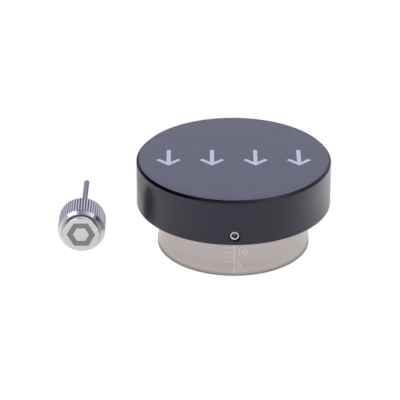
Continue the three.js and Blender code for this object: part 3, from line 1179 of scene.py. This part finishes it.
# A plain hexagonal ring on the key's face: a square section carried round in six steps.
def buildKeyMark():
    size = keyMark
    top, bottom = size["proud"], -size["root"]
    ring = np.array([size["inner"], size["outer"], size["outer"], size["inner"], size["inner"]])[:, None]
    heights = np.array([top, top, bottom, bottom, top])[:, None]
    mark = roundSkin(keyAxis, ring, heights, fullTurn(6))
    return buildPiece("keyMark", [mark], etchedMaterial("keyEtching", size), "key")


buildCap()
buildPressMarks()
print("cap and its press marks built")
buildBase()
scaleEtching = etchedMaterial("scaleEtching", depthScale)
buildScale(scaleEtching)
buildFigures(scaleEtching)
print("base and its scale built")
buildSeal()
buildScrew()
buildPad()
print("seal, lock screw and pad built")
knob = buildKnob()
blade = buildBlade()
mark = buildKeyMark()
print("key built")


# A direction from its compass turn, 0 towards the camera and 90 to the right, and its height in degrees:
# (cos(height) sin(turn), -cos(height) cos(turn), sin(height)).
def towards(turn, height):
    turn, height = math.radians(turn), math.radians(height)
    return (math.cos(height) * math.sin(turn), -math.cos(height) * math.cos(turn), math.sin(height))


studio = {
    "floorHalf": 3.0,
    "floorDepth": 0.02 * mm,
    "tableDepth": 0.03 * mm,
    # brightness by height, from straight down at -1 to straight up at 1, all round and behind the object
    "around": [(-1.0, (0.90, 0.90, 0.90)), (-0.25, (1.0, 1.0, 1.0)), (-0.05, (0.5, 0.5, 0.5)),
               (0.12, (0.4, 0.4, 0.42)), (0.5, (0.4, 0.4, 0.44)), (0.85, (0.42, 0.42, 0.46)),
               (1.0, (0.4, 0.4, 0.42))],
    "behind": [(-1.0, (0.85, 0.85, 0.85)), (-0.4, (0.85, 0.85, 0.85)), (-0.28, (0.5, 0.5, 0.5)),
               (-0.12, (0.2, 0.2, 0.2)), (0.14, (0.24, 0.24, 0.25)), (0.3, (1.15, 1.17, 1.5)),
               (0.5, (1.6, 1.64, 2.1)), (0.75, (1.1, 1.1, 1.3)), (1.0, (0.45, 0.45, 0.47))],
    "behindFrom": 0.72,  # cosine of the turn from straight behind at which that half begins, and is whole
    "behindWhole": 0.93,
    # soft lights, and a dark one that takes light away: direction, narrowness, and what each adds in red,
    # green and blue
    "lights": [
        (towards(122, -27), 5, (0.75, 0.76, 0.8)),
        (towards(-85, -27), 3, (0.2, 0.2, 0.2)),
        (towards(-95, 36), 3, (-0.55, -0.55, -0.55)),
        (towards(-42, 52), 90, (0.4, 0.4, 0.4)),
        (towards(64, 54), 26, (0.85, 0.85, 0.85)),
    ],
    "tableNear": 0.05,  # out to here the table is plain, and from tableFar it is as the room below
    "tableFar": 0.09,
    "tableBright": 0.88,
    # painted contact shadow: close round the base's foot the table's glow is darker
    "contactFrom": 0.0305,  # close round the foot of the base the table is darker, out to contactTo
    "contactTo": 0.0325,
    "contactShade": 0.5,
}


# Soft round lamps close to the key, which light nothing else: direction from its face, distance, radius
# and brightness.
keyLamps = [
    {"aim": (-0.58, -0.41, 0.70), "distance": 0.3, "radius": 0.095, "brightness": 1.5},
    {"aim": (-0.93, -0.28, 0.25), "distance": 0.2, "radius": 0.09, "brightness": 0.6},
    {"aim": (0.91, -0.30, 0.29), "distance": 0.2, "radius": 0.12, "brightness": 0.7},
]


# Power of a lamp = brightness * pi * area. Each looks back at the middle of the key's face.
def buildKeyLamps(pieces):
    lit = bpy.data.collections.new("keyPieces")
    for piece in pieces:
        lit.objects.link(piece)
    for index, lamp in enumerate(keyLamps):
        light = bpy.data.lights.new(f"keyLamp{index + 1}", "AREA")
        light.shape = "DISK"
        light.size = 2 * lamp["radius"]
        area = math.pi * lamp["radius"] ** 2
        light.energy = lamp["brightness"] * math.pi * area
        holder = bpy.data.objects.new(light.name, light)
        bpy.context.scene.collection.objects.link(holder)
        aim = Vector(lamp["aim"]).normalized()
        holder.location = Vector(keyAxis["centre"]) + aim * lamp["distance"]
        holder.rotation_mode = "QUATERNION"
        holder.rotation_quaternion = aim.to_track_quat("Z", "Y")
        holder.light_linking.receiver_collection = lit
        holder.light_linking.blocker_collection = lit


# Brightness of the room in a direction d: a ramp by height all round, run into another one straight behind,
# + sum of light * max(0, d . towards)^narrowness. The camera itself sees plain white.
def buildRoom():
    world = bpy.data.worlds.new("room")
    bpy.context.scene.world = world
    world.use_nodes = True
    recipe = Recipe(world.node_tree)
    direction = recipe.add("ShaderNodeTexCoord", output="Generated")
    x, y, height = recipe.parts(direction)
    level = height * 0.5 + 0.5
    ramps = [recipe.ramp(level, [((at + 1) / 2, colour) for at, colour in studio[half]])
             for half in ("around", "behind")]
    behind = y / (x * x + y * y).atLeast(0.0001) ** 0.5
    behind = (behind - studio["behindFrom"]) / (studio["behindWhole"] - studio["behindFrom"])
    light = recipe.blendColours(behind.clamped(), *ramps)
    for aim, narrowness, colour in studio["lights"]:
        facing = recipe.agreement(direction, Vector(aim).normalized())
        light = recipe.addScaled(light, colour, facing.atLeast(0.0) ** narrowness)
    light = recipe.add("ShaderNodeVectorMath", {"operation": "MAXIMUM"}, {0: light, 1: (0.0, 0.0, 0.0)})
    lit = recipe.add("ShaderNodeBackground", None, {"Color": light, "Strength": 1.0})
    white = recipe.add("ShaderNodeBackground", None, {"Color": (1, 1, 1, 1), "Strength": 1.0})
    seen = recipe.add("ShaderNodeLightPath", output="Is Camera Ray")
    mixed = recipe.add("ShaderNodeMixShader", None, {0: seen, 1: lit, 2: white})
    recipe.add("ShaderNodeOutputWorld", None, {"Surface": mixed})


# A square sheet just under the object.
def tableSheet(name, depth):
    half = studio["floorHalf"]
    mesh = bpy.data.meshes.new(name)
    corners = [(-half, -half, -depth), (half, -half, -depth), (half, half, -depth), (-half, half, -depth)]
    mesh.from_pydata(corners, [], [(0, 1, 2, 3)])
    sheet = bpy.data.objects.new(name, mesh)
    bpy.context.scene.collection.objects.link(sheet)
    material, recipe = newMaterial(name)
    mesh.materials.append(material)
    return sheet, recipe


# The white floor that the camera sees, clear from underneath so that the underside can be looked at too.
def buildFloor():
    floor, recipe = tableSheet("floor", studio["floorDepth"])
    white = recipe.add("ShaderNodeEmission", None, {"Color": (1, 1, 1, 1), "Strength": 1.0})
    clear = recipe.add("ShaderNodeBsdfTransparent")
    under = recipe.add("ShaderNodeNewGeometry", output="Backfacing")
    mixed = recipe.add("ShaderNodeMixShader", None, {0: under, 1: white, 2: clear})
    recipe.add("ShaderNodeOutputMaterial", None, {"Surface": mixed})
    floor.visible_diffuse = False
    floor.visible_glossy = False
    floor.visible_transmission = False
    floor.visible_shadow = False


# The table as the metal sees it: even close to the object, and clear to the room further off. The glow is
# table * (painted contact shadow close to the base's foot, running up to 1 just outside it).
def buildTable():
    table, recipe = tableSheet("table", studio["tableDepth"])
    x, y, z = recipe.place()
    away = (x * x + y * y) ** 0.5
    share = ((away - studio["tableNear"]) / (studio["tableFar"] - studio["tableNear"])).clamped()
    clearOf = ((away - studio["contactFrom"]) / (studio["contactTo"] - studio["contactFrom"])).clamped()
    dark, bright = (studio["tableBright"] * part for part in (studio["contactShade"], 1))
    colour = recipe.blendColours(clearOf, (dark, dark, dark, 1), (bright, bright, bright, 1))
    glow = recipe.add("ShaderNodeEmission", None, {"Color": colour, "Strength": 1.0})
    clear = recipe.add("ShaderNodeBsdfTransparent")
    mixed = recipe.add("ShaderNodeMixShader", None, {0: share, 1: glow, 2: clear})
    recipe.add("ShaderNodeOutputMaterial", None, {"Surface": mixed})
    table.visible_camera = False
    table.visible_shadow = False


camera = {
    "aim": (-0.0129, 0.0, 0.01768),
    "distance": 1.0,
    "elevation": 26.71,
    "lens": 233.3,
    "sensor": 36,
}


# The camera stands at aim + distance * (0, -cos(elevation), sin(elevation)) and looks back at its aim.
def buildCamera():
    lens = bpy.data.cameras.new("camera")
    lens.lens = camera["lens"]
    lens.sensor_width = camera["sensor"]
    holder = bpy.data.objects.new("camera", lens)
    bpy.context.scene.collection.objects.link(holder)
    tilt = math.radians(camera["elevation"])
    back = Vector((0, -math.cos(tilt), math.sin(tilt)))
    holder.location = Vector(camera["aim"]) + back * camera["distance"]
    holder.rotation_mode = "QUATERNION"
    holder.rotation_quaternion = (-back).to_track_quat("-Z", "Y")
    bpy.context.scene.camera = holder


buildRoom()
buildFloor()
buildTable()
buildKeyLamps([knob, blade, mark])
buildCamera()
bpy.context.scene.view_settings.view_transform = "Standard"
bpy.context.scene.view_settings.look = "None"
print("studio ready")
